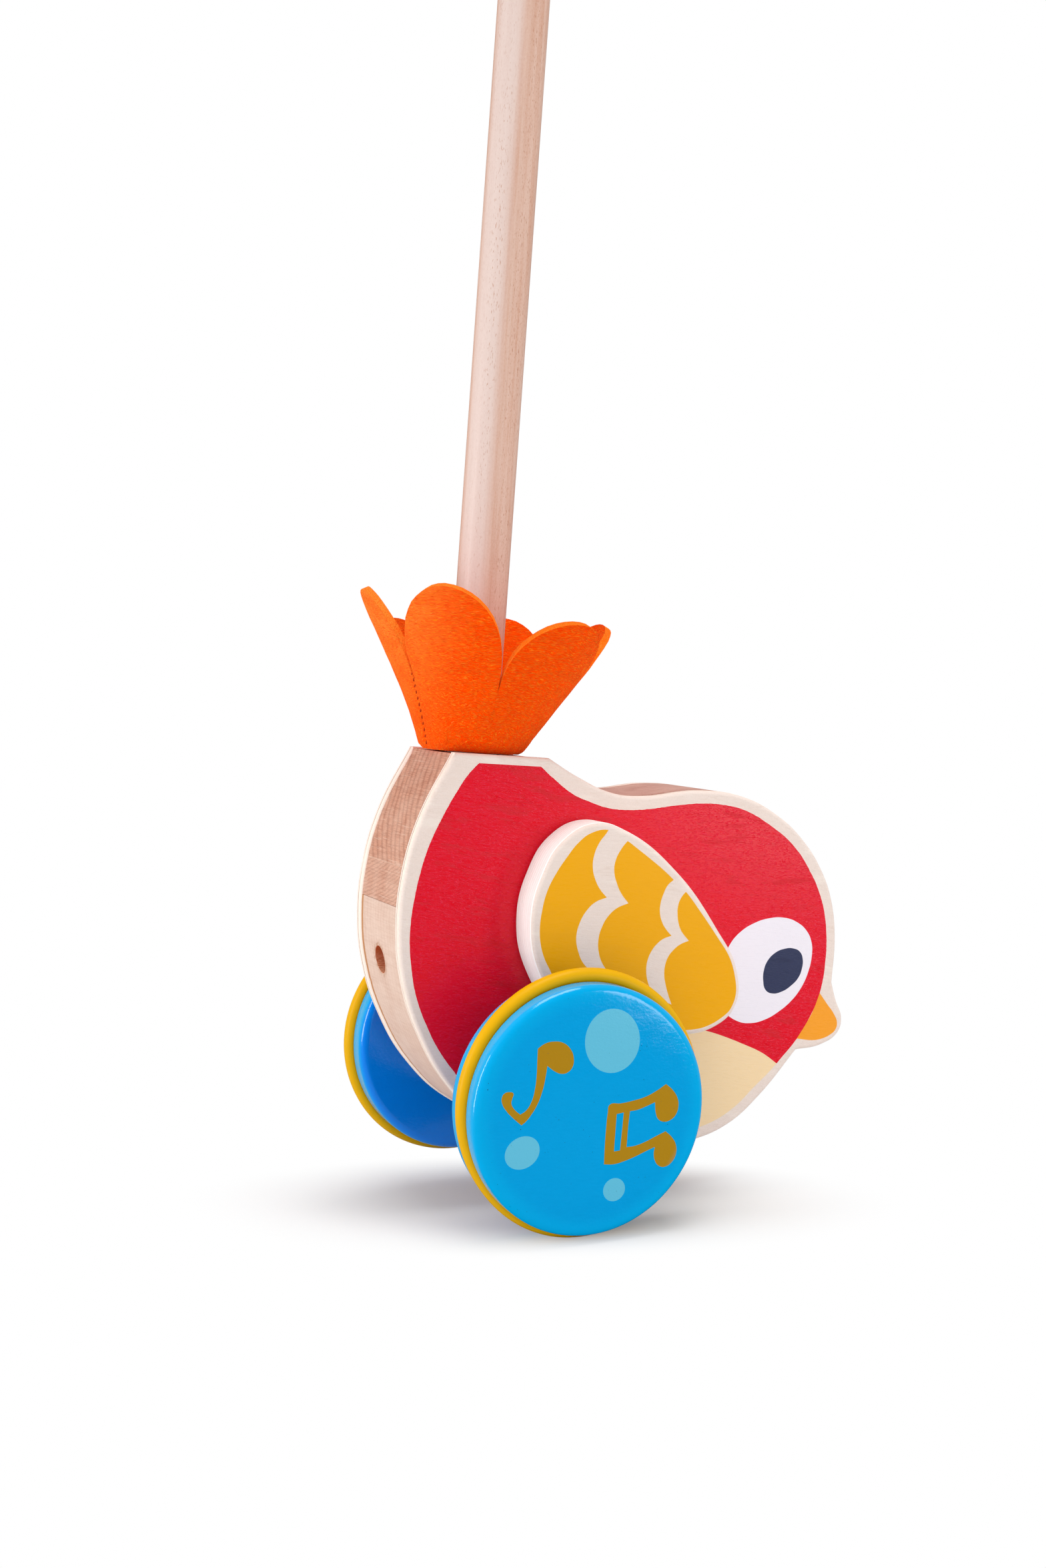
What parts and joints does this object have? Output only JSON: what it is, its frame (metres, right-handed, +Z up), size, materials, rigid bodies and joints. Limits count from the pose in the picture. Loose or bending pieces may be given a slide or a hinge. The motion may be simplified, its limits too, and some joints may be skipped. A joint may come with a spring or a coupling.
{
  "type": "push-along bird toy",
  "caption": "Wooden bird on two ringed wheels with a felt tail and a long beech push stick; a pinned drum on the axle plucks a comb inside the body.",
  "frame": {"origin": "middle of the ball knob that the hand holds, on the stick's axis", "axes": "+X the way the bird faces and rolls, +Y the bird's left, +Z up"},
  "size_m": [0.1482, 0.114, 0.5416],
  "materials": {
    "beech": "planed beech under clear matt lacquer",
    "red_panel": "pale plywood with a crimson water-based print, satin",
    "yellow_wing": "pale plywood with a golden yellow print, satin",
    "blue_wheel": "turned beech in gloss sky-blue lacquer",
    "yellow_rubber": "soft rubber, satin",
    "felt": "thick pressed wool felt",
    "nylon": "natural nylon",
    "steel": "bright steel"
  },
  "bodies": {
    "bird": {"core_tail_block": "beech", "core_middle_block": "beech", "core_lower_block": "beech", "side_panel_right": "red_panel", "side_panel_left": "red_panel", "wing_right": "yellow_wing", "wing_left": "yellow_wing", "wing_dowel_right_upper": "beech", "wing_dowel_right_lower": "beech", "wing_dowel_left_upper": "beech", "wing_dowel_left_lower": "beech", "stick": "beech", "stick_knob": "beech", "felt_tail": "felt", "axle_bush_right": "nylon", "axle_bush_left": "nylon", "chime_comb": "steel", "comb_bridge": "beech", "comb_screw_right": "steel", "comb_screw_left": "steel"},
    "wheelset": {"axle": "steel", "spacer_sleeve_right": "nylon", "spacer_sleeve_left": "nylon", "wheel_right": "blue_wheel", "wheel_left": "blue_wheel", "tyre_ring_right": "yellow_rubber", "tyre_ring_left": "yellow_rubber", "chime_drum": "nylon"}
  },
  "joints": [
    {"name": "wheel_roll", "type": "hinge", "parent": "bird", "child": "wheelset", "pos_m": [-0.01819, 0, -0.48813], "axis": [0, 1, 0], "continuous": true}
  ]
}
